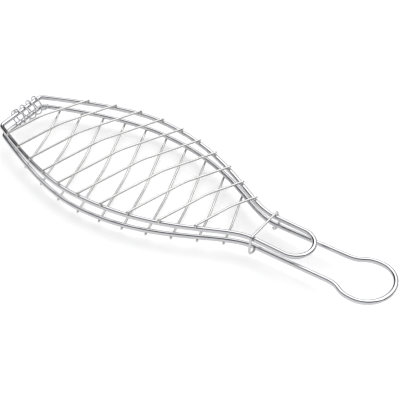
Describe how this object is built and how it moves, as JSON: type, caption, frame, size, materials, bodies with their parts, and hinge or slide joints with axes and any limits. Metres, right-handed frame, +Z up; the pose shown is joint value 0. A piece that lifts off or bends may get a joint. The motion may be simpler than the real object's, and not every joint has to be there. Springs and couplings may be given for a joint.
{
  "type": "grill basket",
  "caption": "Fish-shaped wire grill basket: two bowed halves with slanted cross wires, a coil hinge at the head, a sliding wire latch and a keyhole loop handle.",
  "frame": {"origin": "middle of the basket's bounding box, at the level of its lowest wire", "axes": "+X from the hinge at the head towards the handle, +Y across the basket, +Z up through the lid"},
  "size_m": [0.4686, 0.1412, 0.0405],
  "materials": {
    "rim_wire": "bright plated, polished",
    "cross_wire": "bright plated, polished",
    "coil_wire": "bright drawn wire",
    "latch_wire": "bright plated, polished"
  },
  "bodies": {
    "base": {"base_frame": "rim_wire", "base_cross_wire_01": "cross_wire", "base_cross_wire_02": "cross_wire", "base_cross_wire_03": "cross_wire", "base_cross_wire_04": "cross_wire", "base_cross_wire_05": "cross_wire", "base_cross_wire_06": "cross_wire", "base_cross_wire_07": "cross_wire", "base_cross_wire_08": "cross_wire", "base_cross_wire_09": "cross_wire", "base_cross_wire_10": "cross_wire", "hinge_coil": "coil_wire"},
    "lid": {"lid_frame": "rim_wire", "lid_cross_wire_01": "cross_wire", "lid_cross_wire_02": "cross_wire", "lid_cross_wire_03": "cross_wire", "lid_cross_wire_04": "cross_wire", "lid_cross_wire_05": "cross_wire", "lid_cross_wire_06": "cross_wire", "lid_cross_wire_07": "cross_wire", "lid_cross_wire_08": "cross_wire", "lid_cross_wire_09": "cross_wire", "lid_cross_wire_10": "cross_wire"},
    "latch": {"latch": "latch_wire"}
  },
  "joints": [
    {"name": "lid_hinge", "type": "hinge", "parent": "base", "child": "lid", "pos_m": [-0.22385, 0, 0.0279], "axis": [0, -1, 0], "range_deg": [0, 180]},
    {"name": "latch_slide", "type": "slide", "parent": "base", "child": "latch", "axis": [0.9995, 0, 0.033], "range_m": [0, 0.075]}
  ]
}
